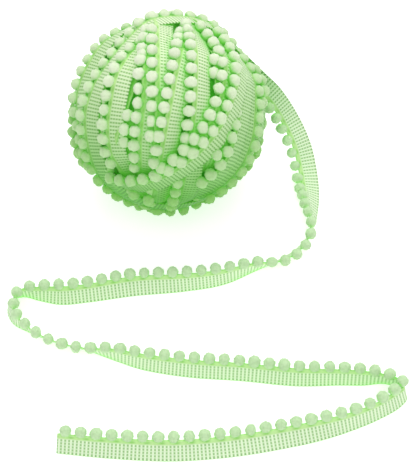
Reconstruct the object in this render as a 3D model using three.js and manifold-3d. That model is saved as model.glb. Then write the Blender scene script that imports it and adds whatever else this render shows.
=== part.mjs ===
// Mint green pom pom trim: one long woven tape with a row of small poms along one edge.
// Most of it is wound into a ball. The last stretch leaves the ball's shoulder at the back,
// falls to the surface and lies there in a long S, standing on its plain edge.
// Millimetres, +Z up. The origin is the middle of the flat spot that the ball rests on.
import * as THREE from "three";
import { mergeVertices } from "three/addons/utils/BufferGeometryUtils.js";
import { ConvexHull } from "three/addons/math/ConvexHull.js";
import Module from "manifold-3d";

// The trim
const TAPE_WIDTH = 10.3; // from the plain edge to the edge that carries the poms
const EDGING_WIDTH = 2.2; // the smooth band along that edge
const TAPE_THICKNESS = 1.0;
const POM_DIAMETER = 5.8;
const POM_PITCH = 7.5;
const POM_REACH = 1.8; // from the tape's edge out to a pom's middle
const POM_LAP = 0.4; // the band runs this far past the tape's edge, under the poms
const PARTING = 0.3; // between pieces that touch on the real trim

// The ball
const BALL_HEIGHT = 51.5; // its centre over the surface
const ROW_RADIUS = 52; // from the ball's centre to a pom's middle
const CORE_RADIUS = 48.8; // the turns beneath the outer ones
const TURN_RADIUS = 49.5; // the outside of the first outer turn's tape
const TURN_RISE = 0.12; // each later turn lies this much further out
const TURN_LEAN = 1.1; // a turn's pom edge stands this much prouder than its plain edge
const POM_PROUD = 2.3; // a pom's top over its own tape
const POM_DIP = 0.6; // and the dip between two poms under it
const POM_TOP = { spread: 1.9, side: 0.14, drop: 0.3 }; // three corners to a pom's top: two a
// little lower than the outer one, to its sides by this share of the pitch
const CORNER_GAP = 1.7; // no two corners of the ball's skin are nearer
const FLAT_RADIUS = 13; // the spot pressed flat under the ball
const FLAT_SHOULDER = { radius: 25, height: 5 }; // where the pressed turns round up into the ball
const FLAT_TOP = { radius: 19, height: 12 }; // and where they end inside it
const FLAT_SIDES = 28;
const FLAT_EXCESS = 1; // cut off level with the surface

// The outer turns, in the order they were wound. Each is a circle on the ball: azimuth and
// elevation (degrees) of the axis it goes round, and the height (mm) of its pom row's plane
// along that axis, from the ball's centre. The tape lies on the axis side of its poms.
const TURNS = [
  { azimuth: -11, elevation: 18, plane: 5 },
  { azimuth: 8, elevation: -6, plane: 18 },
  { azimuth: 66, elevation: -68, plane: 2 },
  { azimuth: -84, elevation: 63, plane: -3 },
  { azimuth: 42, elevation: -77, plane: -2.5 },
  { azimuth: 35, elevation: -50, plane: -1 },
  { azimuth: -34, elevation: 23, plane: 1 },
  { azimuth: 29, elevation: -48, plane: -4.5 },
  { azimuth: -5, elevation: -2, plane: -14 },
  { azimuth: 2, elevation: -5, plane: -12 },
  { azimuth: -8, elevation: -7, plane: -1.5 },
  { azimuth: 4, elevation: -11, plane: 2 },
  { azimuth: 20, elevation: -56, plane: -22.5 },
  { azimuth: 12, elevation: -59, plane: -16 },
  { azimuth: -51, elevation: 29, plane: -3 },
  { azimuth: -65, elevation: 49, plane: 0 }, // the last turn, which the loose tail leaves
];

// The loose tail, from the ball to its cut end: where its plain edge runs (x, y and its
// height over the surface, mm) and how far the tape leans to the right of its travel from
// standing upright on that edge (degrees).
const TAIL = [
  { x: 28.8, y: 42, height: 67.3, lean: 201 },
  { x: 36.4, y: 38.8, height: 61.7, lean: 190 },
  { x: 44, y: 35.1, height: 55.6, lean: 172 },
  { x: 52, y: 31, height: 49, lean: 142 },
  { x: 60, y: 27, height: 42, lean: 117 },
  { x: 71, y: 20, height: 26, lean: 111 },
  { x: 78, y: 11, height: 13, lean: 98 },
  { x: 81, y: 0, height: 4.5, lean: 83 },
  { x: 82, y: -12, height: 0.5, lean: 69 },
  { x: 81, y: -24, height: 0, lean: 47 },
  { x: 78.5, y: -36, height: 0, lean: 22 },
  { x: 73.5, y: -45.5, height: 0, lean: -15 },
  { x: 66, y: -54, height: 0, lean: -37 },
  { x: 56, y: -61, height: 0, lean: -38 },
  { x: 45, y: -67, height: 0, lean: -12 },
  { x: 29, y: -75.5, height: 0, lean: 13 },
  { x: 8, y: -80, height: 0, lean: 25 },
  { x: -18, y: -83, height: 0, lean: 44 },
  { x: -42, y: -87, height: 0, lean: 30 },
  { x: -56, y: -88.5, height: 0, lean: 29 },
  { x: -67, y: -86, height: 0, lean: 8 },
  { x: -76, y: -83.5, height: 0, lean: -14 },
  { x: -82, y: -86, height: 0, lean: -23 },
  { x: -83.5, y: -93, height: 0, lean: -23 },
  { x: -80, y: -100.5, height: 0, lean: -9 },
  { x: -72, y: -105.5, height: 0, lean: 12 },
  { x: -58, y: -112, height: 0, lean: 28 },
  { x: -40, y: -117.5, height: 0, lean: 27 },
  { x: -27, y: -123, height: 0, lean: 1 },
  { x: -13, y: -128.5, height: 0, lean: -15 },
  { x: 9, y: -133, height: 0, lean: -25 },
  { x: 38, y: -135.5, height: 0, lean: -26 },
  { x: 65, y: -138.5, height: 0, lean: -26 },
  { x: 87, y: -138, height: 0, lean: -17 },
  { x: 99, y: -138, height: 0, lean: -11 },
  { x: 109, y: -137, height: 0, lean: 6 },
  { x: 117, y: -140, height: 0, lean: 8 },
  { x: 120, y: -145.5, height: 0, lean: 14 },
  { x: 116, y: -151, height: 0, lean: 25 },
  { x: 105, y: -158, height: 0, lean: 23 },
  { x: 91, y: -164.5, height: 0, lean: 27 },
  { x: 76, y: -170, height: 0, lean: 42 },
  { x: 58, y: -174.5, height: 0, lean: 52 },
  { x: 34, y: -179, height: 0, lean: 58 },
  { x: 4, y: -181.5, height: 0, lean: 51 },
  { x: -26, y: -180, height: 0, lean: 44 },
  { x: -53, y: -177, height: 0, lean: 38 },
];
const TAIL_STEP = 5; // along the tail
const EDGING_CLEAR = 57; // from the ball's centre, where the tail's own poms begin

const wasm = await Module();
wasm.setup();

const MINT = { ball: 0xb5e8a0, tape: 0xc8f0b4, poms: 0xd2eecb };
const UP = new THREE.Vector3(0, 0, 1);
const BALL_CENTRE = new THREE.Vector3(0, 0, BALL_HEIGHT);
const radians = THREE.MathUtils.degToRad;

// Joining and cutting work on solids; a mesh is made from one at the end.
function solid(geometry) {
  const bare = geometry.clone();
  bare.deleteAttribute("normal");
  bare.deleteAttribute("uv");
  const merged = mergeVertices(bare, 1e-4);
  return new wasm.Manifold(
    new wasm.Mesh({
      numProp: 3,
      vertProperties: merged.attributes.position.array,
      triVerts: new Uint32Array(merged.index.array),
    }),
  );
}

function skinOf(body) {
  const data = body.getMesh();
  const geometry = new THREE.BufferGeometry();
  geometry.setAttribute("position", new THREE.BufferAttribute(data.vertProperties, 3));
  geometry.setIndex(new THREE.BufferAttribute(data.triVerts, 1));
  return geometry;
}

function mesh(name, body, colour, roughness) {
  const material = new THREE.MeshStandardMaterial({ color: colour, roughness, metalness: 0 });
  const made = new THREE.Mesh(skinOf(body), material);
  made.name = name;
  return made;
}

// A skin through a row of sections, each the same number of corners in the same order, and
// capped at both ends.
function loft(sections) {
  const corners = sections[0].length;
  const points = sections.flat().flatMap((p) => [p.x, p.y, p.z]);
  const faces = [];
  const last = (sections.length - 1) * corners;
  for (let here = 0; here < last; here += corners) {
    const next = here + corners;
    for (let k = 0; k < corners; k += 1) {
      const l = (k + 1) % corners;
      faces.push(here + k, next + l, next + k);
      faces.push(here + k, here + l, next + l);
    }
  }
  for (let k = 1; k < corners - 1; k += 1) {
    faces.push(0, k + 1, k);
    faces.push(last, last + k, last + k + 1);
  }
  const geometry = new THREE.BufferGeometry();
  geometry.setAttribute("position", new THREE.Float32BufferAttribute(points, 3));
  geometry.setIndex(faces);
  return geometry;
}

// A turn's own directions: the axis it goes round and two across it.
function turnAxes({ azimuth, elevation }) {
  const a = radians(azimuth);
  const e = radians(elevation);
  const axis = new THREE.Vector3(Math.cos(e) * Math.cos(a), Math.cos(e) * Math.sin(a), Math.sin(e));
  const first = new THREE.Vector3().crossVectors(axis, new THREE.Vector3(-Math.sin(a), Math.cos(a), 0));
  const second = new THREE.Vector3().crossVectors(axis, first);
  return { axis, first: first.normalize(), second };
}

// The point of a turn at an angle round its axis, an angle off that axis and a radius.
function onBall({ axis, first, second }, round, off, radius) {
  return BALL_CENTRE.clone()
    .addScaledVector(axis, radius * Math.cos(off))
    .addScaledVector(first, radius * Math.sin(off) * Math.cos(round))
    .addScaledVector(second, radius * Math.sin(off) * Math.sin(round));
}

// The angles off its axis at which a turn's pom row, tape edges and fluffy rim lie.
function turnLines(turn) {
  const row = Math.acos(turn.plane / ROW_RADIUS);
  const pomEdge = row - POM_REACH / ROW_RADIUS;
  const plainEdge = pomEdge - TAPE_WIDTH / ROW_RADIUS;
  const rim = row + POM_DIAMETER / 2 / ROW_RADIUS;
  return { row, pomEdge, plainEdge, rim };
}

// The skin's corners on the ball, turn by turn from the last one down: on each turn the
// tops of its poms, the dips between them, its tape's two edges and the ground just past
// them. A corner that a later turn covers, or that crowds one already placed, is left out.
function skinCorners() {
  const turns = TURNS.map((turn, i) => ({
    axes: turnAxes(turn),
    lines: turnLines(turn),
    radius: TURN_RADIUS + i * TURN_RISE,
  }));
  const crosses = ({ axes, lines }, direction) => {
    const off = Math.acos(THREE.MathUtils.clamp(direction.dot(axes.axis), -1, 1));
    return off > lines.plainEdge && off < lines.rim;
  };
  const ground = (direction, below) => {
    const under = turns.slice(0, below).findLast((turn) => crosses(turn, direction));
    return under ? under.radius : CORE_RADIUS;
  };
  const corners = [];
  const place = (direction, radius) => {
    const near = CORNER_GAP / ROW_RADIUS;
    if (corners.every((other) => other.direction.distanceTo(direction) > near)) {
      corners.push({ direction, radius });
    }
  };
  for (let i = turns.length - 1; i >= 0; i -= 1) {
    const { axes, lines, radius } = turns[i];
    const later = turns.slice(i + 1);
    const count = Math.round((2 * Math.PI * ROW_RADIUS * Math.sin(lines.row)) / POM_PITCH);
    const along = (phase, off, height) => {
      for (let k = 0; k < count; k += 1) {
        const round = ((k + phase) / count) * 2 * Math.PI;
        const direction = onBall(axes, round, off, 1).sub(BALL_CENTRE);
        if (later.some((turn) => crosses(turn, direction))) continue;
        place(direction, height ?? ground(direction, i));
      }
    };
    const prouder = radius + TURN_LEAN;
    const gap = CORNER_GAP / ROW_RADIUS;
    const half = POM_TOP.spread / 2 / ROW_RADIUS;
    along(0, lines.row + half, prouder + POM_PROUD);
    along(-POM_TOP.side, lines.row - half, prouder + POM_PROUD - POM_TOP.drop);
    along(POM_TOP.side, lines.row - half, prouder + POM_PROUD - POM_TOP.drop);
    along(0.5, lines.row, prouder - POM_DIP);
    along(0, lines.rim, null);
    along(0.25, lines.pomEdge, prouder);
    along(0.75, lines.pomEdge, prouder);
    along(0, lines.plainEdge, radius);
    along(0.5, lines.plainEdge, radius);
    along(0.25, lines.plainEdge - gap, null);
    along(0.75, lines.rim + gap, null);
  }
  const spread = new THREE.IcosahedronGeometry(1, 7).attributes.position;
  for (let k = 0; k < spread.count; k += 1) {
    const direction = new THREE.Vector3().fromBufferAttribute(spread, k);
    if (!turns.some((turn) => crosses(turn, direction))) place(direction, CORE_RADIUS);
  }
  return corners;
}

// The ball: a skin stretched over the outer turns, with the pressed spot joined under it,
// cut off level with the surface.
function windBall() {
  const corners = skinCorners();
  const order = new Map(corners.map((corner, i) => [corner.direction, i]));
  const hull = new ConvexHull().setFromPoints(corners.map((corner) => corner.direction));
  const faces = hull.faces.flatMap(({ edge }) =>
    [edge, edge.next, edge.prev].map((side) => order.get(side.head().point)),
  );
  const points = corners.flatMap(({ direction, radius }) =>
    direction.clone().multiplyScalar(radius).add(BALL_CENTRE).toArray(),
  );
  const skin = new THREE.BufferGeometry();
  skin.setAttribute("position", new THREE.Float32BufferAttribute(points, 3));
  skin.setIndex(faces);
  const flare = (FLAT_SHOULDER.radius - FLAT_RADIUS) / FLAT_SHOULDER.height;
  const pressed = new THREE.LatheGeometry(
    [
      new THREE.Vector2(0, -FLAT_EXCESS),
      new THREE.Vector2(FLAT_RADIUS - flare * FLAT_EXCESS, -FLAT_EXCESS),
      new THREE.Vector2(FLAT_SHOULDER.radius, FLAT_SHOULDER.height),
      new THREE.Vector2(FLAT_TOP.radius, FLAT_TOP.height),
      new THREE.Vector2(0, FLAT_TOP.height),
    ],
    FLAT_SIDES,
  );
  pressed.rotateX(Math.PI / 2);
  const room = new THREE.BoxGeometry(4 * BALL_HEIGHT, 4 * BALL_HEIGHT, 4 * BALL_HEIGHT);
  room.translate(0, 0, 2 * BALL_HEIGHT);
  return solid(skin).add(solid(pressed)).intersect(solid(room));
}

// The tail's route: a smooth curve through the table's places, walked in even steps. Each
// step has its place on the plain edge, the way across the tape and the tape's face.
function tailSteps() {
  const route = new THREE.CatmullRomCurve3(
    TAIL.map((row) => new THREE.Vector3(row.x, row.y, row.height)),
    false,
    "centripetal",
  );
  const leans = new THREE.CatmullRomCurve3(
    TAIL.map((row, i) => new THREE.Vector3(i, row.lean, 0)),
    false,
    "centripetal",
  );
  route.arcLengthDivisions = 2000;
  const count = Math.round(route.getLength() / TAIL_STEP);
  const steps = [];
  for (let i = 0; i <= count; i += 1) {
    const t = route.getUtoTmapping(i / count);
    const travel = route.getTangent(t);
    const left = new THREE.Vector3().crossVectors(UP, travel).normalize();
    const upright = new THREE.Vector3().crossVectors(travel, left);
    const lean = radians(leans.getPoint(t).y);
    const across = upright.multiplyScalar(Math.cos(lean)).addScaledVector(left, -Math.sin(lean));
    const face = new THREE.Vector3().crossVectors(travel, across);
    const place = route.getPoint(t);
    place.z = Math.max(place.z, 0) + (TAPE_THICKNESS / 2) * Math.abs(face.z);
    steps.push({ place, travel, across, face });
  }
  return steps;
}

function tailStrip(steps, from, to) {
  const half = TAPE_THICKNESS / 2;
  const corner = (step, across, out) =>
    step.place.clone().addScaledVector(step.across, across).addScaledVector(step.face, out);
  return loft(
    steps.map((step) => [
      corner(step, from, -half),
      corner(step, to, -half),
      corner(step, to, half),
      corner(step, from, half),
    ]),
  );
}

// The tail's edging: the smooth band with a pom at every pitch along its outer edge.
function tailEdging(steps) {
  const clear = steps.filter((step, i) => {
    const edge = step.place.clone().addScaledVector(step.across, TAPE_WIDTH);
    return i > 0 && edge.distanceTo(BALL_CENTRE) > EDGING_CLEAR;
  });
  let edging = solid(tailStrip(clear, TAPE_WIDTH - EDGING_WIDTH, TAPE_WIDTH + POM_LAP));
  const row = new THREE.CatmullRomCurve3(
    clear.map((step) => step.place.clone().addScaledVector(step.across, TAPE_WIDTH + POM_REACH)),
  );
  row.arcLengthDivisions = 1000;
  const count = Math.round(row.getLength() / POM_PITCH);
  for (let i = 0; i < count; i += 1) {
    const pom = new THREE.IcosahedronGeometry(POM_DIAMETER / 2, 0);
    pom.rotateZ(i);
    const place = row.getPointAt((i + 0.5) / count);
    pom.translate(place.x, place.y, place.z);
    edging = edging.add(solid(pom));
  }
  return edging;
}

const ball = windBall();
const clearance = 1 + PARTING / CORE_RADIUS;
const parted = skinOf(ball)
  .translate(0, 0, -BALL_HEIGHT)
  .scale(clearance, clearance, clearance)
  .translate(0, 0, BALL_HEIGHT);
const ballRoom = solid(parted);
const steps = tailSteps();
const tape = solid(tailStrip(steps, 0, TAPE_WIDTH - EDGING_WIDTH - PARTING)).subtract(ballRoom);
const edging = tailEdging(steps).subtract(ballRoom);

const trim = new THREE.Group();
trim.add(mesh("wound_ball", ball, MINT.ball, 0.9));
trim.add(mesh("tail_tape", tape, MINT.tape, 0.75));
trim.add(mesh("tail_pompoms", edging, MINT.poms, 0.95));

export default trim;
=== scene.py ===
import math

import bmesh
import bpy
import numpy as np
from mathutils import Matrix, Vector, kdtree, noise


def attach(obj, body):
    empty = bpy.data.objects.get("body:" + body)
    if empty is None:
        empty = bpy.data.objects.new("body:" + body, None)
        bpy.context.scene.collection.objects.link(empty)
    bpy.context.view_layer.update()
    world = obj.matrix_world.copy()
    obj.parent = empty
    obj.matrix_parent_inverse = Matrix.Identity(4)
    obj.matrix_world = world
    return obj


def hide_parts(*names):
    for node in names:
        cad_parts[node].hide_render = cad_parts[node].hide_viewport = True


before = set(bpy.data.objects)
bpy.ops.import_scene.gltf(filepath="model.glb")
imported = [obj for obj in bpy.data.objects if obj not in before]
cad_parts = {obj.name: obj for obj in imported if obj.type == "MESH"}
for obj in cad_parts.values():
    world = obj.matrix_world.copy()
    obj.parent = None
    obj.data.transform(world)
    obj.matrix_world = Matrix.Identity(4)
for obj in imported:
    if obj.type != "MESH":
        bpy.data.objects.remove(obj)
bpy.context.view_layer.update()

# The white table top that the trim lies on, and the light over it: one large soft panel above
# and behind, a weaker one in front, and pale light from all round, so the shadows are faint.
TABLE_HALF = 2.5
TABLE_DROP = 0.00005  # keeps the table just clear of what lies on it
TABLE_GLOW = 0.55
ROOM_LIGHT = 0.62
PANEL_SIZE = 1.1

table_mesh = bpy.data.meshes.new("white_table")
table_mesh.from_pydata(
    [
        (-TABLE_HALF, -TABLE_HALF, -TABLE_DROP),
        (TABLE_HALF, -TABLE_HALF, -TABLE_DROP),
        (TABLE_HALF, TABLE_HALF, -TABLE_DROP),
        (-TABLE_HALF, TABLE_HALF, -TABLE_DROP),
    ],
    [],
    [(0, 1, 2, 3)],
)
table = bpy.data.objects.new("white_table", table_mesh)
bpy.context.scene.collection.objects.link(table)
white_paint = bpy.data.materials.new("matt_white")
white_paint.use_nodes = True
paint = white_paint.node_tree.nodes["Principled BSDF"]
paint.inputs["Base Color"].default_value = (0.8, 0.8, 0.8, 1)
paint.inputs["Roughness"].default_value = 0.9
paint.inputs["Specular IOR Level"].default_value = 0.1
paint.inputs["Emission Color"].default_value = (1, 1, 1, 1)
paint.inputs["Emission Strength"].default_value = TABLE_GLOW
table_mesh.materials.append(white_paint)

studio = bpy.data.worlds.new("pale_room")
bpy.context.scene.world = studio
studio.use_nodes = True
room = studio.node_tree.nodes["Background"]
room.inputs["Color"].default_value = (1, 1, 1, 1)
room.inputs["Strength"].default_value = ROOM_LIGHT

for side, power, stands_at in (
    ("back", 9.4, (0.05, 0.75, 1.15)),
    ("front", 4.4, (0.12, -0.75, 1.0)),
):
    panel_light = bpy.data.lights.new(f"{side}_panel", "AREA")
    panel_light.shape = "SQUARE"
    panel_light.size = PANEL_SIZE
    panel_light.energy = power
    panel = bpy.data.objects.new(f"{side}_panel", panel_light)
    panel.location = stands_at
    toward_ball = Vector((0, 0, 0.03)) - panel.location
    panel.rotation_euler = toward_ball.to_track_quat("-Z", "Y").to_euler()
    bpy.context.scene.collection.objects.link(panel)
bpy.context.scene.view_settings.view_transform = "Standard"

# The camera looks down at the trim from the front, at 52 degrees from level.
camera_body = bpy.data.cameras.new("camera")
camera_body.lens = 116.8
camera_body.sensor_width = 36
camera_body.clip_start = 0.05
camera = bpy.data.objects.new("camera", camera_body)
camera.location = (0.02123, -0.54549, 0.646)
camera.rotation_euler = (math.radians(38), 0, 0)
bpy.context.scene.collection.objects.link(camera)
bpy.context.scene.camera = camera

# The loose tail's tape: a gauze of close cross ribs with a few fine threads running through
# them, a beaded plain edge and a smooth satin band along the other edge. It is woven in one
# piece, and lies in loose bends, standing on its plain edge and leaning back.
TAPE_WIDTH = 0.0103
RIB_PITCH = 0.00192
RIB_HEIGHT = 0.00017
GAUZE_WIDTH = 0.0079
RIB_FADE = 0.0004  # over which the ribs run out at the band
TAPE_BODY = 0.00042
SATIN_BODY = 0.00006  # how much thicker the band is on each side
TAPE_LIES = 0.00035  # about half of the tape's thickness with its ribs
HEM_WIDTH = 0.0005
HEM_BEAD = 0.00008
HEM_SCALLOP = 0.0002
POM_PITCH = 0.0075
BAND_PUCKER = 0.00022
DIMPLE_LANE = 0.0088  # where the band dimples between two poms
DIMPLE_WIDTH = 0.0006
THREAD_PITCH = 1.55  # of the threads along the tape, in millimetres
RIB_STEPS = 6  # places along each rib's pitch in the mesh
TAIL_LANES = np.array([0, 0.3, 0.65, 1.3, 2.6, 3.9, 5.2, 6.5, 7.3, 7.75, 8.1, 8.7, 9.5, 10.3]) / 1000
CREAM_MINT = (0.80, 0.95, 0.68)
# painted shade: the tail tape's green in its creases
TAPE_CREASE_SHADE = (0.24, 0.84, 0.10)
TAPE_UNDERSIDE_SHADE = (0.16, 0.52, 0.07)  # painted shade: the tape's colour is multiplied by this low on the ball, darker and greener towards its underside
UNDERSIDE_SHADE_HEIGHTS = (0.035, 0.1)  # the ball's painted underside shade is full at the first height, and gone at the second
UNDERSIDE_SHADE_FADES = 0.07  # and it is gone this far along the tail
# how far occlusion looks for the painted crease shade, and how strongly the creases give off a
# painted glow
CREASE_SHADE_REACH = 0.007
PAINTED_CREASE_GLOW = 0.12

# Where the plain edge runs (x, y, height) in millimetres, and how far the tape leans to the
# right of its travel from standing upright, in degrees.
TAIL_ROUTE = (
    (28.8, 42, 67.3, 201),
    (36.4, 38.8, 61.7, 190),
    (44, 35.1, 55.6, 172),
    (52, 31, 49, 142),
    (60, 27, 42, 117),
    (71, 20, 26, 111),
    (78, 11, 13, 98),
    (81, 0, 4.5, 83),
    (82, -12, 0.5, 69),
    (81, -24, 0, 47),
    (78.5, -36, 0, 22),
    (73.5, -45.5, 0, -15),
    (66, -54, 0, -37),
    (56, -61, 0, -38),
    (45, -67, 0, -12),
    (29, -75.5, 0, 13),
    (8, -80, 0, 25),
    (-18, -83, 0, 44),
    (-42, -87, 0, 30),
    (-56, -88.5, 0, 29),
    (-67, -86, 0, 8),
    (-76, -83.5, 0, -14),
    (-82, -86, 0, -23),
    (-83.5, -93, 0, -23),
    (-80, -100.5, 0, -9),
    (-72, -105.5, 0, 12),
    (-58, -112, 0, 28),
    (-40, -117.5, 0, 27),
    (-27, -123, 0, 1),
    (-13, -128.5, 0, -15),
    (9, -133, 0, -25),
    (38, -135.5, 0, -26),
    (65, -138.5, 0, -26),
    (87, -138, 0, -17),
    (99, -138, 0, -11),
    (109, -137, 0, 6),
    (117, -140, 0, 8),
    (120, -145.5, 0, 14),
    (116, -151, 0, 25),
    (105, -158, 0, 23),
    (91, -164.5, 0, 27),
    (76, -170, 0, 42),
    (58, -174.5, 0, 52),
    (34, -179, 0, 58),
    (4, -181.5, 0, 51),
    (-26, -180, 0, 44),
    (-53, -177, 0, 38),
)


def smooth_route(places, per_span=24):
    """A smooth line through the places; what comes after x, y and z is carried along."""
    rows = np.array(places, float)
    rows = np.vstack([2 * rows[0] - rows[1], rows, 2 * rows[-1] - rows[-2]])
    gaps = np.linalg.norm(np.diff(rows[:, :3], axis=0), axis=1) ** 0.5
    line = []
    for i in range(1, len(rows) - 2):
        before, start, end, after = rows[i - 1 : i + 3]
        g0, g1, g2 = gaps[i - 1 : i + 2]
        leave = ((start - before) / g0 - (end - before) / (g0 + g1) + (end - start) / g1) * g1
        arrive = ((end - start) / g1 - (after - start) / (g1 + g2) + (after - end) / g2) * g1
        t = np.linspace(0, 1, per_span, endpoint=False)[:, None]
        line.append(
            (2 * t**3 - 3 * t**2 + 1) * start
            + (t**3 - 2 * t**2 + t) * leave
            + (3 * t**2 - 2 * t**3) * end
            + (t**3 - t**2) * arrive
        )
    line.append(rows[-2][None])
    return np.vstack(line)


def even_steps(line, step):
    """The same line walked in steps of one length, with how far along each one is."""
    lengths = np.linalg.norm(np.diff(line[:, :3], axis=0), axis=1)
    travelled = np.concatenate([[0], np.cumsum(lengths)])
    count = int(round(travelled[-1] / step))
    run = np.linspace(0, travelled[-1], count + 1)
    return np.stack([np.interp(run, travelled, column) for column in line.T], axis=1), run


def unit(rows):
    return rows / np.linalg.norm(rows, axis=-1, keepdims=True)


def carry(mesh, label, values):
    """Keeps a value at each point of a mesh for its material to read."""
    kept = mesh.attributes.new(label, "FLOAT", "POINT")
    kept.data.foreach_set("value", values.astype(np.float32))


def weave_tape(name, strips, lanes, under=None, bow=0.0, away=None):
    """The woven tape as a thin closed skin for each of its strips: ribbed on both sides, its
    plain edge beaded and finely scalloped, its smooth band puckered from pom to pom.
    under picks the lanes that its underside keeps where that lies out of sight, and away says
    how far each step is out of the ball's painted underside shade."""
    under = np.arange(len(lanes)) if under is None else np.array(under)
    skirt = len(lanes) + len(under)
    gauze = np.clip((GAUZE_WIDTH - lanes) / RIB_FADE, 0, 1)
    gauze *= np.clip(lanes / HEM_WIDTH + 0.35, 0, 1)
    band = np.clip((lanes - GAUZE_WIDTH) / (TAPE_WIDTH - GAUZE_WIDTH), 0, 1)
    bead = HEM_BEAD * np.exp(-((2 * lanes / HEM_WIDTH - 0.8) ** 2))
    body = TAPE_BODY / 2 + bead + SATIN_BODY * (band > 0)
    share = lanes / TAPE_WIDTH
    over = np.concatenate([lanes, lanes[under[::-1]]])
    dented = np.exp(-(((over - DIMPLE_LANE) / DIMPLE_WIDTH) ** 2))
    points, faces, ribs, dimple_shading = [], [], [], []
    start = 0
    for hem, across, face, rib, pucker, closed in strips:
        ridge = RIB_HEIGHT * rib[:, None] * gauze[None, :]
        middle = hem[:, None, :] + across[:, None, :] * lanes[None, :, None]
        middle[:, 0] -= across * (HEM_SCALLOP * rib[:, None])
        lift = bow * 4 * share * (1 - share) + BAND_PUCKER * pucker[:, None] * band[None, :]
        middle = middle + face[:, None, :] * lift[..., None]
        out = face[:, None, :] * (body + ridge)[..., None]
        skin = np.concatenate([middle + out, (middle - out)[:, under[::-1]]], axis=1)
        skin[..., 2] = np.maximum(skin[..., 2], 0)
        corners = start + np.arange(len(hem) * skirt).reshape(len(hem), skirt)
        here = corners if closed else corners[:-1]
        after = np.roll(corners, -1, axis=0) if closed else corners[1:]
        beside = [np.roll(after, -1, axis=1), np.roll(here, -1, axis=1)]
        faces += np.stack([here, after, *beside], axis=-1).reshape(-1, 4).tolist()
        if not closed:
            faces += [corners[0].tolist(), corners[-1][::-1].tolist()]
        points.append(skin.reshape(-1, 3))
        ribs.append(np.repeat(rib, skirt))
        # how deep the band dimples between two poms, for the painted shade there
        dimple_shading.append(np.outer((0.5 - 0.5 * pucker) ** 2, dented).ravel())
        start += len(hem) * skirt
    cloth = bpy.data.meshes.new(name)
    cloth.from_pydata(np.vstack(points).tolist(), [], faces)
    carry(cloth, "rib", np.concatenate(ribs))
    carry(cloth, "across", np.tile(over * 1000, start // skirt))
    carry(cloth, "painted_dimple_shade", np.concatenate(dimple_shading))
    if away is not None:
        carry(cloth, "away", np.repeat(away, skirt))
    cloth.shade_smooth()
    woven = bpy.data.objects.new(name, cloth)
    bpy.context.scene.collection.objects.link(woven)
    return woven


def carried(nodes, label):
    """A value that the mesh keeps at each point."""
    kept = nodes.new("ShaderNodeAttribute")
    kept.attribute_name = label
    return kept.outputs["Fac"]


def ranged(nodes, wires, value, low, high, smooth=False):
    """How far a value has come from low to high, from 0 to 1."""
    share = nodes.new("ShaderNodeMapRange")
    share.inputs["From Min"].default_value = low
    share.inputs["From Max"].default_value = high
    if smooth:
        share.interpolation_type = "SMOOTHSTEP"
    wires.new(value, share.inputs["Value"])
    return share.outputs["Result"]


def mixed(nodes, wires, share, first, second):
    """From the first to the second by a share; each is a colour or what a node gives."""
    mix = nodes.new("ShaderNodeMix")
    mix.data_type = "RGBA"
    wires.new(share, mix.inputs["Factor"])
    for side, colour in (("A", first), ("B", second)):
        if isinstance(colour, tuple):
            mix.inputs[side].default_value = (*colour, 1)
        else:
            wires.new(colour, mix.inputs[side])
    return mix.outputs["Result"]


def painted_crease_shade_and_glow(nodes, wires, lit, deep, low=None):
    """Painted shade and a painted glow: the yarn's own colour turns to a clear leaf green in the
    creases that occlusion finds, and the creases give off a little green light. low is painted
    shade that the ball's yarn takes towards its underside, less of it the more a point is marked
    as away from the ball."""
    # painted shade: low on the ball the colour is multiplied towards low, darker and greener towards
    # the underside, by height alone
    if low is not None:
        place = nodes.new("ShaderNodeTexCoord")
        height = nodes.new("ShaderNodeSeparateXYZ")
        wires.new(place.outputs["Object"], height.inputs["Vector"])
        clear = nodes.new("ShaderNodeMath")
        clear.operation = "MAXIMUM"
        wires.new(ranged(nodes, wires, height.outputs["Z"], *UNDERSIDE_SHADE_HEIGHTS), clear.inputs[0])
        wires.new(carried(nodes, "away"), clear.inputs[1])
        underside_shaded = nodes.new("ShaderNodeMix")
        underside_shaded.data_type = "RGBA"
        underside_shaded.blend_type = "MULTIPLY"
        underside_shaded.inputs["Factor"].default_value = 1
        wires.new(lit, underside_shaded.inputs["A"])
        wires.new(mixed(nodes, wires, clear.outputs[0], low, (1, 1, 1)), underside_shaded.inputs["B"])
        lit = underside_shaded.outputs["Result"]
    # painted shade: where occlusion finds other yarn near, in the creases, the colour turns to the
    # deep green
    crease_occlusion = nodes.new("ShaderNodeAmbientOcclusion")
    crease_occlusion.samples = 6
    crease_occlusion.inputs["Distance"].default_value = CREASE_SHADE_REACH
    opened = ranged(nodes, wires, crease_occlusion.outputs["AO"], 0.12, 0.88, smooth=True)
    yarn = nodes["Principled BSDF"]
    wires.new(mixed(nodes, wires, opened, deep, lit), yarn.inputs["Base Color"])
    # painted glow: the creases give off a little light in the deep green, none where the yarn is
    # open
    wires.new(mixed(nodes, wires, opened, deep, (0, 0, 0)), yarn.inputs["Emission Color"])
    yarn.inputs["Emission Strength"].default_value = PAINTED_CREASE_GLOW


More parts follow.
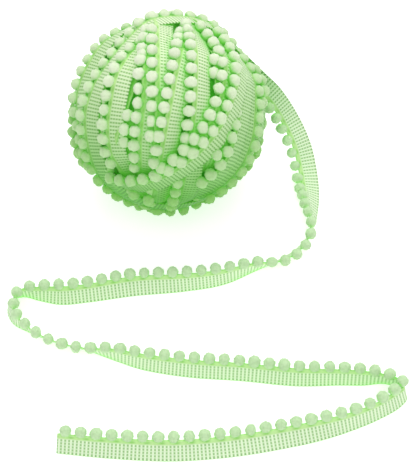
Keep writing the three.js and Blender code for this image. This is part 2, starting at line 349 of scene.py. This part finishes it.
def woven_tape_finish(name, lit, gap, satin, painted_dimple_shade, deep, low):
    """Bright cross ribs over a darker gauze ground with fine threads through it, and a smooth,
    slightly glossy satin band. The ground's darker green between the ribs, the darker dimples in
    the band between the poms and the darker dips between the hem's beads are painted shade."""
    material = bpy.data.materials.new(name)
    material.use_nodes = True
    nodes = material.node_tree.nodes
    wires = material.node_tree.links
    crest = ranged(nodes, wires, carried(nodes, "rib"), 0.25, 0.7, smooth=True)
    across = carried(nodes, "across")

    round_turn = nodes.new("ShaderNodeMath")
    round_turn.operation = "MULTIPLY"
    round_turn.inputs[1].default_value = 2 * math.pi / THREAD_PITCH
    wires.new(across, round_turn.inputs[0])
    wave = nodes.new("ShaderNodeMath")
    wave.operation = "COSINE"
    wires.new(round_turn.outputs[0], wave.inputs[0])
    thread = ranged(nodes, wires, wave.outputs[0], 0.1, 0.85)
    thread_over_gap = tuple(0.25 * a + 0.75 * b for a, b in zip(gap, lit))
    thread_over_rib = tuple(0.1 * a + 0.9 * b for a, b in zip(gap, lit))
    # painted shade: the ground between the ribs takes the darker gap colour; the threads over it are
    # paler
    ground = mixed(nodes, wires, thread, gap, thread_over_gap)
    ribs = mixed(nodes, wires, thread, lit, thread_over_rib)
    gauze = mixed(nodes, wires, crest, ground, ribs)

    # painted shade in the band's dimples between the poms
    band = mixed(nodes, wires, carried(nodes, "painted_dimple_shade"), satin, painted_dimple_shade)
    with_band = mixed(nodes, wires, ranged(nodes, wires, across, 7.55, 8.0), gauze, band)
    # painted shade in the dips between the beads of the plain edge
    beads = mixed(nodes, wires, crest, tuple(0.7 * c for c in gap), lit)
    with_hem = mixed(nodes, wires, ranged(nodes, wires, across, 0.55, 0.3), with_band, beads)

    fibre = nodes.new("ShaderNodeTexNoise")
    fibre.inputs["Scale"].default_value = 900
    fibre.inputs["Detail"].default_value = 2
    uneven = nodes.new("ShaderNodeMapRange")
    uneven.inputs["To Min"].default_value = 0.86
    uneven.inputs["To Max"].default_value = 1.1
    wires.new(fibre.outputs["Fac"], uneven.inputs["Value"])
    mottled = nodes.new("ShaderNodeVectorMath")
    mottled.operation = "SCALE"
    wires.new(with_hem, mottled.inputs[0])
    wires.new(uneven.outputs["Result"], mottled.inputs["Scale"])
    painted_crease_shade_and_glow(nodes, wires, mottled.outputs["Vector"], deep, low)
    bump = nodes.new("ShaderNodeBump")
    bump.inputs["Strength"].default_value = 0.35
    bump.inputs["Distance"].default_value = 0.00008
    wires.new(fibre.outputs["Fac"], bump.inputs["Height"])
    yarn = nodes["Principled BSDF"]
    wires.new(bump.outputs["Normal"], yarn.inputs["Normal"])
    yarn.inputs["Roughness"].default_value = 0.62
    yarn.inputs["Specular IOR Level"].default_value = 0.35
    yarn.inputs["Sheen Weight"].default_value = 0.15
    yarn.inputs["Sheen Roughness"].default_value = 0.4
    return material


tail_line, tail_run = even_steps(
    smooth_route([(x / 1000, y / 1000, z / 1000, lean) for x, y, z, lean in TAIL_ROUTE]),
    RIB_PITCH / RIB_STEPS,
)
tail_hem = tail_line[:, :3].copy()
tail_travel = unit(np.gradient(tail_hem, axis=0))
tail_left = unit(np.cross((0, 0, 1), tail_travel))
tail_upright = np.cross(tail_travel, tail_left)
tail_lean = np.radians(tail_line[:, 3])[:, None]
tail_across = tail_upright * np.cos(tail_lean) - tail_left * np.sin(tail_lean)
tail_face = np.cross(tail_travel, tail_across)
tail_hem[:, 2] = np.maximum(tail_hem[:, 2], 0) + TAPE_LIES * np.abs(tail_face[:, 2]) + HEM_SCALLOP
tail_rib = 0.5 + 0.5 * np.cos(2 * math.pi * tail_run / RIB_PITCH)
tail_pucker = np.cos(2 * math.pi * (tail_run / POM_PITCH - 0.5))
# how far each step of the tail is out of the ball's painted underside shade
tail_free_of_underside_shade = np.clip(tail_run / UNDERSIDE_SHADE_FADES, 0, 1)
tail_tape = weave_tape(
    "tail_tape",
    [(tail_hem, tail_across, tail_face, tail_rib, tail_pucker, False)],
    TAIL_LANES,
    away=tail_free_of_underside_shade,
)
# the gap, dimple and deep colours are painted shade, and low is painted underside shade
tape_weave = woven_tape_finish(
    "mint_woven_tape",
    lit=CREAM_MINT,
    gap=(0.32, 0.57, 0.23),
    satin=(0.55, 0.82, 0.35),
    painted_dimple_shade=(0.26, 0.64, 0.13),
    deep=TAPE_CREASE_SHADE,
    low=TAPE_UNDERSIDE_SHADE,
)
tail_tape.data.materials.append(tape_weave)
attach(tail_tape, "root")
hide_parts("tail_tape")

# The loose tail's poms: small balls of cut yarn, tied at an even pitch along the outer edge
# of the smooth band, with the cut ends of their yarn standing out all over them as small points.
POM_RADIUS = 0.0029
POM_REACH = 0.0015
# painted shade: the tail's poms are coloured darker and greener than the same yarn on the ball
TAIL_POM_SHADED_MINT = (0.65, 0.86, 0.55)
# painted shade: the poms' green in their creases
POM_CREASE_SHADE = (0.36, 0.86, 0.20)
# painted shade: the poms' colour is multiplied by this low on the ball
POM_UNDERSIDE_SHADE = (0.34, 0.66, 0.22)
UNEVEN = 0.05  # how far the poms' sizes differ, as a share


def cut_yarn_shapes(rounds, kinds, seed, cut_end_share=0.3):
    """A few different trimmed balls of yarn, one unit in radius: a little lumpy, with the cut
    ends of the yarn standing out of them as small points all over."""
    ball = bmesh.new()
    bmesh.ops.create_icosphere(ball, subdivisions=rounds, radius=1.0)
    points = np.array([v.co[:] for v in ball.verts])
    faces = np.array([[v.index for v in f.verts] for f in ball.faces])
    ball.free()
    chance = np.random.default_rng(seed)
    shapes = []
    for kind in range(kinds):
        shift = Vector((7.3 * kind + seed, 2.1 * kind, -3.7 * kind))
        broad = np.array([noise.noise(Vector(p) * 1.4 + shift) for p in points])
        small = np.array([noise.noise(Vector(p) * 3.6 + shift) for p in points])
        swell = 0.97 + 0.05 * broad + 0.04 * small
        cut_ends = chance.random(len(points)) < cut_end_share
        swell += np.where(cut_ends, chance.uniform(0.04, 0.14, len(points)), 0)
        shapes.append(points * swell[:, None])
    return shapes, faces


def fluffy_poms(name, places, outward, radius, shapes, faces, seed, pressed=None, away=None):
    """Yarn balls at their places, each turned and sized a little differently. pressed gives
    how much of its height each keeps along its outward direction, and away how far each is
    out of the ball's painted underside shade."""
    chance = np.random.default_rng(seed)
    points, triangles = [], []
    for i, (place, out) in enumerate(zip(places, outward)):
        spin = np.linalg.qr(chance.normal(size=(3, 3)))[0]
        wide = radius * (1 + chance.normal(size=3) * UNEVEN)
        body = (shapes[chance.integers(len(shapes))] @ spin.T) * wide
        if np.linalg.det(spin) < 0:
            body = -body
        if pressed is not None and pressed[i] < 1:
            body = body - np.outer(body @ out, out) * (1 - pressed[i])
        body = body + place
        body[:, 2] = np.maximum(body[:, 2], 0)
        points.append(body)
        triangles.append(faces + i * len(body))
    yarn = bpy.data.meshes.new(name)
    yarn.from_pydata(np.vstack(points).tolist(), [], np.vstack(triangles).tolist())
    if away is not None:
        carry(yarn, "away", np.repeat(away, len(shapes[0])))
    yarn.shade_smooth()
    poms = bpy.data.objects.new(name, yarn)
    bpy.context.scene.collection.objects.link(poms)
    return poms


def pom_yarn_finish(name, lit, deep, low=None):
    """Matt, soft cut yarn, mottled paler and greener, with painted shade and a painted glow in
    green deep between the poms.
    """
    material = bpy.data.materials.new(name)
    material.use_nodes = True
    nodes = material.node_tree.nodes
    wires = material.node_tree.links
    yarn = nodes["Principled BSDF"]
    pile = nodes.new("ShaderNodeTexNoise")
    pile.inputs["Scale"].default_value = 1400
    pile.inputs["Detail"].default_value = 3
    # partly uneven tone, partly painted shade: the same noise that bumps the pile makes its low
    # places darker and greener
    pale = nodes.new("ShaderNodeValToRGB")
    pale.color_ramp.elements[0].position = 0.32
    pale.color_ramp.elements[0].color = (0.78 * lit[0], 0.92 * lit[1], 0.66 * lit[2], 1)
    pale.color_ramp.elements[1].position = 0.6
    pale.color_ramp.elements[1].color = (*lit, 1)
    wires.new(pile.outputs["Fac"], pale.inputs["Fac"])
    painted_crease_shade_and_glow(nodes, wires, pale.outputs["Color"], deep, low)
    bump = nodes.new("ShaderNodeBump")
    bump.inputs["Strength"].default_value = 0.9
    bump.inputs["Distance"].default_value = 0.00018
    wires.new(pile.outputs["Fac"], bump.inputs["Height"])
    wires.new(bump.outputs["Normal"], yarn.inputs["Normal"])
    yarn.inputs["Roughness"].default_value = 0.95
    yarn.inputs["Specular IOR Level"].default_value = 0.1
    yarn.inputs["Sheen Weight"].default_value = 0.3
    yarn.inputs["Sheen Roughness"].default_value = 0.6
    yarn.inputs["Sheen Tint"].default_value = (0.9, 1.0, 0.86, 1)
    return material


pom_line = tail_hem + tail_across * (TAPE_WIDTH + POM_REACH)
pom_run = np.concatenate([[0], np.cumsum(np.linalg.norm(np.diff(pom_line, axis=0), axis=1))])
pom_count = int(round(pom_run[-1] / POM_PITCH))
pom_at = (np.arange(pom_count) + 0.5) * pom_run[-1] / pom_count
tail_pom_places = np.stack([np.interp(pom_at, pom_run, axis) for axis in pom_line.T], axis=1)
tail_pom_out = np.stack([np.interp(pom_at, pom_run, axis) for axis in tail_across.T], axis=1)
fine_shapes, fine_faces = cut_yarn_shapes(rounds=4, kinds=6, seed=11)
tail_poms = fluffy_poms(
    "tail_poms",
    tail_pom_places,
    unit(tail_pom_out),
    POM_RADIUS,
    fine_shapes,
    fine_faces,
    seed=21,
    away=np.clip(pom_at / UNDERSIDE_SHADE_FADES, 0, 1),
)
pom_yarn = pom_yarn_finish("mint_pom_yarn", lit=TAIL_POM_SHADED_MINT, deep=POM_CREASE_SHADE, low=POM_UNDERSIDE_SHADE)
tail_poms.data.materials.append(pom_yarn)
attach(tail_poms, "root")
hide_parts("tail_pompoms")

# The ball's inside: the turns that were wound first, packed close and out of the light, as one
# round core whose saturated green is painted shade, so only a deep green shows between the outer
# turns.
BALL_CENTRE = np.array([0, 0, 0.0515])
INSIDE_RADIUS = 0.0437

inside_shapes, inside_faces = cut_yarn_shapes(rounds=6, kinds=1, seed=5, cut_end_share=0)
packed = bpy.data.meshes.new("packed_inside")
inside_points = inside_shapes[0] * INSIDE_RADIUS + BALL_CENTRE
packed.from_pydata(inside_points.tolist(), [], inside_faces.tolist())
packed.shade_smooth()
inside = bpy.data.objects.new("packed_inside", packed)
bpy.context.scene.collection.objects.link(inside)
# painted shade: the inside's yarn is coloured the deep green of the shade it lies in
inside.data.materials.append(
    pom_yarn_finish("painted_shade_inside_yarn", lit=(0.20, 0.84, 0.08), deep=(0.12, 0.78, 0.04))
)
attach(inside, "root")
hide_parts("wound_ball")

# The ball's turns: lengths of the same trim, each wound once round the ball over the ones
# before it. A turn is pulled taut, so it bridges the hollows, and its poms hold its pom edge
# off the turn beneath, while its plain edge lies lower.
ROW_RADIUS = 0.052
TURN_STEPS = 4  # places along each rib's pitch in these turns' mesh
COARSE = 180  # places round a turn where its height is found
LOOSE_POM = 0.0031  # the poms' radius here, where they have been pulled fluffier
POM_SEAT = 0.0019  # a pom's middle over the tape that it is pressed on
CROWDED = 0.0036  # nearer than this to a later turn's pom, one is pressed out of sight
EDGE_DROP = 0.0004  # the tape's pom edge lies this much under the poms' middles
TAPE_REST = 0.00045  # a tape's middle over the tape that it lies on
TAPE_SKIN = 0.0002  # and its faces from that middle
TAPE_BOW = 0.00025
ROW_REACH = 0.0022  # how far to each side a row of poms feels what it lies on
TAPE_REACH = 0.0012  # and a tape
ROW_OVER_POMS = 0.25  # how much of the poms under it a row lies over, as a share
HEM_OVER_POMS = 0.3
ROW_OVER_EDGE = 0.0003
CROWN_SHARE = 0.6  # how much of a pom's roundness stays once a turn lies on it
HIDDEN_MARGIN = 0.0012  # a tape this far inside a later one's edges doesn't show
COVERED_BY = 0.0022  # nor does a pom this far inside them
THINNEST_POM = 0.0018  # however hard a tape presses it
LOWEST_POM = 0.0027  # its middle over the table
SPOT_RISE = 0.004  # under this height the ball is pressed towards the table
TURN_LANES = np.array([0, 0.4, 1.2, 3.2, 5.2, 7.3, 7.8, 8.7, 9.6, 10.3]) / 1000
TURN_UNDER = (0, 4, 9)  # the lanes kept on the side that faces the ball
TAPE_LEVEL = 0.0496  # how far from the centre the outermost tape lies, on average
LEVEL_EVERY = 16  # that average is found from one in this many spots
LEVEL_SPREAD = 0.26  # the reach of that average, in radians round the ball
LEVEL_SHARE = 0.95  # how much of any swelling over that reach the outer turns press down
PROUD_SHARE = 0.24  # how much of its height over that level a turn keeps

# In the order of winding: azimuth and elevation of the axis that the turn goes round, the
# height of its pom row along that axis (mm) and where its first pom is, in pom pitches.
TURNS = (
    (30, 12, 4, 0.0),
    (95, 22, 6, 0.3),
    (150, -14, -3, 0.1),
    (60, 55, -8, 0.6),
    (122, -42, 10, 0.2),
    (10, 75, 3, 0.5),
    (165, 8, 16, 0.4),
    (100, -5, -14, 0.0),
    (-90, 32, -7, 0.3),
    (-11, 18, 5, 0.0),
    (8, -6, 18, 0.0),
    (66, -68, 2, 0.72),
    (-84, 63, -3, 0.0),
    (42, -77, -2.5, 0.35),
    (-145, 50, -12.5, 0.05),
    (-34, 23, 1, 0.13),
    (29, -48, -4.5, 0.74),
    (-5, -2, -14, 0.43),
    (2, -5, -12, 0.57),
    (-8, -7, -1.5, 0.8),
    (4, -11, 2, 0.03),
    (20, -56, -22.5, 0.91),
    (12, -59, -16, 0.5),
    (-65, 49, 0, 0.5),
    (-51, 29, -3, 0.61),
)
LEAVING_TURN = 24  # the turn that runs on into the loose tail
LEAVING_ARC = math.radians(120)  # over which it slants away from its own plane
JOINING_ARC = math.radians(50)  # over which it lifts to meet the tail
TUCKED_ARC = math.radians(26)  # over which its other end dives between its neighbours
TUCKED_DEPTH = 0.006
TOP_TURN = 25  # the turn over it, which gives way a little where the tail leaves
GIVING_ARC = math.radians(40)
GIVING_WAY = 0.004

# The ball's surface as even spots in all directions, and how high tapes and poms stand there.
spot_count = 26000
golden = math.pi * (3 - math.sqrt(5))
spot_z = 1 - 2 * (np.arange(spot_count) + 0.5) / spot_count
spot_turn = golden * np.arange(spot_count)
spot_off = np.sqrt(1 - spot_z**2)
spots = np.stack([spot_off * np.cos(spot_turn), spot_off * np.sin(spot_turn), spot_z], axis=1)
spot_tree = kdtree.KDTree(spot_count)
for spot_index, spot in enumerate(spots):
    spot_tree.insert(spot, spot_index)
spot_tree.balance()
tape_top = np.full(spot_count, INSIDE_RADIUS)
pom_top = np.full(spot_count, INSIDE_RADIUS)
leaving = unit(tail_hem[0] - BALL_CENTRE)
coarse_rounds = np.arange(COARSE) * 2 * math.pi / COARSE


def ease(share):
    share = np.clip(share, 0, 1)
    return share * share * (3 - 2 * share)


def beneath(directions, ground, reach):
    """The highest that the ball already stands near each direction."""
    near = (spot_tree.find_range(way, reach / ROW_RADIUS) for way in directions)
    return np.array([max(ground[j] for _, j, _ in found) for found in near])


def pulled_taut(profile, spans=(14, 10, 7, 5, 3, 2, 1)):
    """A turn's height once it bridges the hollows between the high places it lies on."""
    step = 2 * math.pi / len(profile)
    for span in spans:
        a, b = np.roll(profile, span), np.roll(profile, -span)
        profile = np.maximum(profile, 2 * a * b * math.cos(span * step) / (a + b))
    for _ in range(3):
        profile = 0.5 * profile + 0.25 * (np.roll(profile, 1) + np.roll(profile, -1))
    return profile


def start_turn(number, azimuth, elevation, plane):
    """A turn's own directions, and how far off its axis its row, edge and hem run."""
    az, el = math.radians(azimuth), math.radians(elevation)
    axis = np.array([math.cos(el) * math.cos(az), math.cos(el) * math.sin(az), math.sin(el)])
    first = unit(np.cross(axis, (-math.sin(az), math.cos(az), 0)))
    second = np.cross(axis, first)
    row_off = math.acos(plane / 1000 / ROW_RADIUS)
    return {
        "number": number,
        "axis": axis,
        "first": first,
        "second": second,
        "row_off": row_off,
        "edge_off": row_off - POM_REACH / ROW_RADIUS,
        "hem_off": row_off - (POM_REACH + TAPE_WIDTH) / ROW_RADIUS,
        "leave_off": math.acos(leaving @ axis),
        "leave_round": math.atan2(leaving @ second, leaving @ first) % (2 * math.pi),
    }


def strays(turn, rounds):
    """How far a turn runs off its own plane, in radians, at these places round it."""
    since = (rounds - turn["leave_round"]) % (2 * math.pi)
    if turn["number"] == LEAVING_TURN:
        return (turn["leave_off"] - turn["hem_off"]) * (1 - ease(since / LEAVING_ARC))
    if turn["number"] == TOP_TURN:
        aside = np.minimum(since, 2 * math.pi - since)
        return -GIVING_WAY / ROW_RADIUS * np.exp(-((aside / GIVING_ARC) ** 2))
    return np.zeros(np.shape(rounds))


def toward(turn, off, rounds):
    """Directions from the ball's centre to a turn's line, at these places round it."""
    slant = (off + strays(turn, rounds))[:, None]
    ring = np.outer(np.cos(rounds), turn["first"]) + np.outer(np.sin(rounds), turn["second"])
    return np.cos(slant) * turn["axis"] + np.sin(slant) * ring


def height_at(turn, line, rounds):
    """The height of a turn's row, edge or hem at these places round it."""
    full_round = np.append(coarse_rounds, 2 * math.pi)
    return np.interp(rounds % (2 * math.pi), full_round, np.append(turn[line], turn[line][0]))


def tape_over(turn, directions):
    """How far across a turn's tape each direction falls, from 0 to 1, and the tape's height."""
    off = np.arccos(np.clip(directions @ turn["axis"], -1, 1))
    around = np.arctan2(directions @ turn["second"], directions @ turn["first"]) % (2 * math.pi)
    share = (off - turn["hem_off"] - strays(turn, around)) / (turn["edge_off"] - turn["hem_off"])
    hem, edge = height_at(turn, "hem", around), height_at(turn, "edge", around)
    return share, hem + (edge - hem) * share


# Each turn is laid here in order, over what already lies under it.
wound = []
for number, (azimuth, elevation, plane, phase) in enumerate(TURNS, start=1):
    turn = start_turn(number, azimuth, elevation, plane)
    row_way = toward(turn, turn["row_off"], coarse_rounds)
    row_tape = beneath(row_way, tape_top, ROW_REACH)
    row_pom = beneath(row_way, pom_top, ROW_REACH)
    row = pulled_taut(row_tape + POM_SEAT + ROW_OVER_POMS * np.maximum(row_pom - row_tape, 0))
    edge = row - EDGE_DROP
    hem_way = toward(turn, turn["hem_off"], coarse_rounds)
    hem_tape = beneath(hem_way, tape_top, TAPE_REACH)
    hem_pom = beneath(hem_way, pom_top, TAPE_REACH)
    hem = pulled_taut(hem_tape + TAPE_REST + HEM_OVER_POMS * np.maximum(hem_pom - hem_tape, 0))
    for share in (0.3, 0.65):
        inner = turn["hem_off"] + (turn["edge_off"] - turn["hem_off"]) * share
        under = beneath(toward(turn, inner, coarse_rounds), tape_top, TAPE_REACH)
        short = np.maximum(under + TAPE_REST - (hem + (edge - hem) * share), 0)
        for _ in range(4):
            beside = np.roll(short, 1) + np.roll(short, -1)
            short = np.maximum(short, 0.5 * short + 0.25 * beside)
        hem = hem + short
        edge = edge + short
    row = np.maximum(row, edge + ROW_OVER_EDGE)
    if number == LEAVING_TURN:
        since = (coarse_rounds - turn["leave_round"]) % (2 * math.pi)
        dive = TUCKED_DEPTH * ease((since - 2 * math.pi + TUCKED_ARC) / TUCKED_ARC)
        row, edge, hem = row - dive, edge - dive, hem - dive
    turn["row"], turn["edge"], turn["hem"] = row, edge, hem

    share, height = tape_over(turn, spots)
    under_tape = (share > 0) & (share < 1)
    tape_top[under_tape] = height[under_tape] + TAPE_SKIN
    pom_top = np.maximum(pom_top, tape_top)
    pom_top[under_tape] = tape_top[under_tape]
    pom_number = int(round(2 * math.pi * ROW_RADIUS * math.sin(turn["row_off"]) / POM_PITCH))
    turn["pitch"] = 2 * math.pi / pom_number
    turn["first_pom"] = phase * turn["pitch"]
    if number == LEAVING_TURN:
        turn["first_pom"] += turn["leave_round"]
    pom_rounds = turn["first_pom"] + np.arange(pom_number) * turn["pitch"]
    turn["pom_ways"] = toward(turn, turn["row_off"], pom_rounds)
    turn["pom_heights"] = height_at(turn, "row", pom_rounds)
    for way, height in zip(turn["pom_ways"], turn["pom_heights"]):
        for _, j, gap in spot_tree.find_range(way, LOOSE_POM / ROW_RADIUS):
            crown = CROWN_SHARE * math.sqrt(max(LOOSE_POM**2 - (gap * ROW_RADIUS) ** 2, 0))
            pom_top[j] = max(pom_top[j], height + crown)
    wound.append(turn)

# The ball's surface once all the turns are laid, at fewer of its spots.
level_spots = spots[::LEVEL_EVERY]
level_tops = tape_top[::LEVEL_EVERY]


def settled(ways, radius, seat=0.0):
    """Each turn presses what is under it, so the outside of the ball stays nearly round. The
    seat is what a line keeps over the tape that it rests on."""
    near = np.exp((ways @ level_spots.T - 1) / LEVEL_SPREAD**2)
    level = near @ level_tops / near.sum(axis=1)
    laid = radius - seat + LEVEL_SHARE * (TAPE_LEVEL - level)
    return np.where(laid > TAPE_LEVEL, TAPE_LEVEL + PROUD_SHARE * (laid - TAPE_LEVEL), laid) + seat


def on_flat_spot(points):
    """What would reach below the table is pressed level with it."""
    high = points[:, 2]
    pressed = SPOT_RISE * np.exp(np.minimum(high - SPOT_RISE, 0) / SPOT_RISE)
    points[:, 2] = np.where(high < SPOT_RISE, pressed, high)
    return points


def hidden_by_later(turn, ways):
    """Whether a later turn's tape lies well over each direction."""
    hidden = np.zeros(len(ways), bool)
    for later in wound[turn["number"] :]:
        share, _ = tape_over(later, ways)
        hidden |= np.minimum(share, 1 - share) * TAPE_WIDTH > HIDDEN_MARGIN
    return hidden


def pressed_pom(turn, way, height):
    """A pom's direction, top and bottom, once the later turns' tapes have pushed it aside and
    pressed it, or nothing where they or their poms hide it."""
    top, bottom = height + LOOSE_POM, height - LOOSE_POM
    for later in wound[turn["number"] :]:
        share, above = (values[0] for values in tape_over(later, way[None]))
        inside_by = min(share, 1 - share) * TAPE_WIDTH
        nearest = math.acos(min(float((later["pom_ways"] @ way).max()), 1))
        if inside_by > COVERED_BY or nearest * ROW_RADIUS < CROWDED:
            return None
        if inside_by > -COVERED_BY and above < top:
            aside = later["axis"] * (-1 if share > 0.5 else 1)
            way = unit(way + aside * 0.5 * (COVERED_BY + inside_by) / ROW_RADIUS)
            if inside_by > 0:
                top = min(top, max(above - TAPE_SKIN, bottom + THINNEST_POM))
    return way, top, bottom


def lengths_showing(showing, ring):
    """The runs of steps that show, as lists of steps in order."""
    steps = np.arange(len(showing))
    if showing.all():
        return [steps]
    if ring:
        steps = np.roll(steps, -int(np.argmin(showing)))
    shown = np.concatenate([[0], showing[steps].astype(int), [0]])
    ends = np.flatnonzero(np.diff(shown))
    return [steps[a:b] for a, b in zip(ends[::2], ends[1::2]) if b - a > 2 * TURN_STEPS]


# the gap, dimple and deep colours are painted shade, and low is painted underside shade
wound_weave = woven_tape_finish(
    "mint_wound_tape",
    lit=(0.80, 0.93, 0.63),
    gap=(0.29, 0.54, 0.18),
    satin=(0.56, 0.82, 0.34),
    painted_dimple_shade=(0.26, 0.64, 0.11),
    deep=(0.17, 0.68, 0.06),
    low=TAPE_UNDERSIDE_SHADE,
)
# deep is painted crease shade, and low is painted underside shade
wound_pom_yarn = pom_yarn_finish(
    "mint_wound_pom_yarn", lit=(0.90, 0.96, 0.78), deep=(0.21, 0.72, 0.08), low=POM_UNDERSIDE_SHADE
)
coarse_shapes, coarse_faces = cut_yarn_shapes(rounds=3, kinds=10, seed=3)

# Each turn's tape and poms are made here, without the lengths and poms that later turns hide.
for turn in wound:
    number = turn["number"]
    ring = number != LEAVING_TURN
    middle_off = 0.5 * (turn["hem_off"] + turn["edge_off"])
    ribs = int(round(2 * math.pi * ROW_RADIUS * math.sin(middle_off) / RIB_PITCH))
    steps = np.arange(ribs * TURN_STEPS)
    rounds = steps * 2 * math.pi / len(steps)
    if not ring:
        rounds = rounds + turn["leave_round"]
    hem_way = toward(turn, turn["hem_off"], rounds)
    edge_way = toward(turn, turn["edge_off"], rounds)
    hem_line = hem_way * settled(hem_way, height_at(turn, "hem", rounds))[:, None] + BALL_CENTRE
    edge_height = settled(edge_way, height_at(turn, "edge", rounds), POM_SEAT - EDGE_DROP)
    edge_line = edge_way * edge_height[:, None] + BALL_CENTRE
    if not ring:
        joining = (1 - ease((rounds - rounds[0]) / JOINING_ARC))[:, None]
        hem_line += joining * (tail_hem[0] - hem_line[0])
        edge_line += joining * (tail_hem[0] + tail_across[0] * TAPE_WIDTH - edge_line[0])
    hem_line, edge_line = on_flat_spot(hem_line), on_flat_spot(edge_line)
    across = unit(edge_line - hem_line)
    hem_line = on_flat_spot(edge_line - across * TAPE_WIDTH)
    travel = np.roll(edge_line, -1, axis=0) - np.roll(edge_line, 1, axis=0)
    if not ring:
        travel = np.gradient(edge_line, axis=0)
    face = unit(np.cross(travel, across))
    if face[0] @ (edge_line[0] - BALL_CENTRE) < 0:
        face = -face
    rib = 0.5 + 0.5 * np.cos(2 * math.pi * steps / TURN_STEPS)
    pucker = np.cos(2 * math.pi * (rounds - turn["first_pom"]) / turn["pitch"])

    hidden = np.ones(len(steps), bool)
    for share in (0, 0.33, 0.67, 1):
        line_off = turn["hem_off"] + share * (turn["edge_off"] - turn["hem_off"])
        hidden &= hidden_by_later(turn, toward(turn, line_off, rounds))
    showing = ~hidden
    for _ in range(2 * TURN_STEPS):
        showing = showing | np.roll(showing, 1) | np.roll(showing, -1)
    strips = []
    for run in lengths_showing(showing, ring):
        closed = ring and len(run) == len(steps)
        strips.append((hem_line[run], across[run], face[run], rib[run], pucker[run], closed))
    if strips:
        tape = weave_tape(f"turn_{number:02d}_tape", strips, TURN_LANES, TURN_UNDER, TAPE_BOW)
        tape.data.materials.append(wound_weave)
        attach(tape, "root")
        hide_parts("wound_ball")

    places, outward, pressed = [], [], []
    for way, height in zip(turn["pom_ways"], turn["pom_heights"]):
        seen = pressed_pom(turn, way, height)
        if seen is None:
            continue
        way, top, bottom = seen
        place = BALL_CENTRE + way * settled(way[None], 0.5 * (top + bottom), POM_SEAT)[0]
        place[2] = max(place[2], LOWEST_POM)
        places.append(place)
        outward.append(way)
        pressed.append(min(1, (top - bottom) / (2 * LOOSE_POM)))
    if places:
        poms = fluffy_poms(
            f"turn_{number:02d}_poms",
            places,
            outward,
            LOOSE_POM,
            coarse_shapes,
            coarse_faces,
            seed=100 + number,
            pressed=pressed,
        )
        poms.data.materials.append(wound_pom_yarn)
        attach(poms, "root")
        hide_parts("wound_ball")
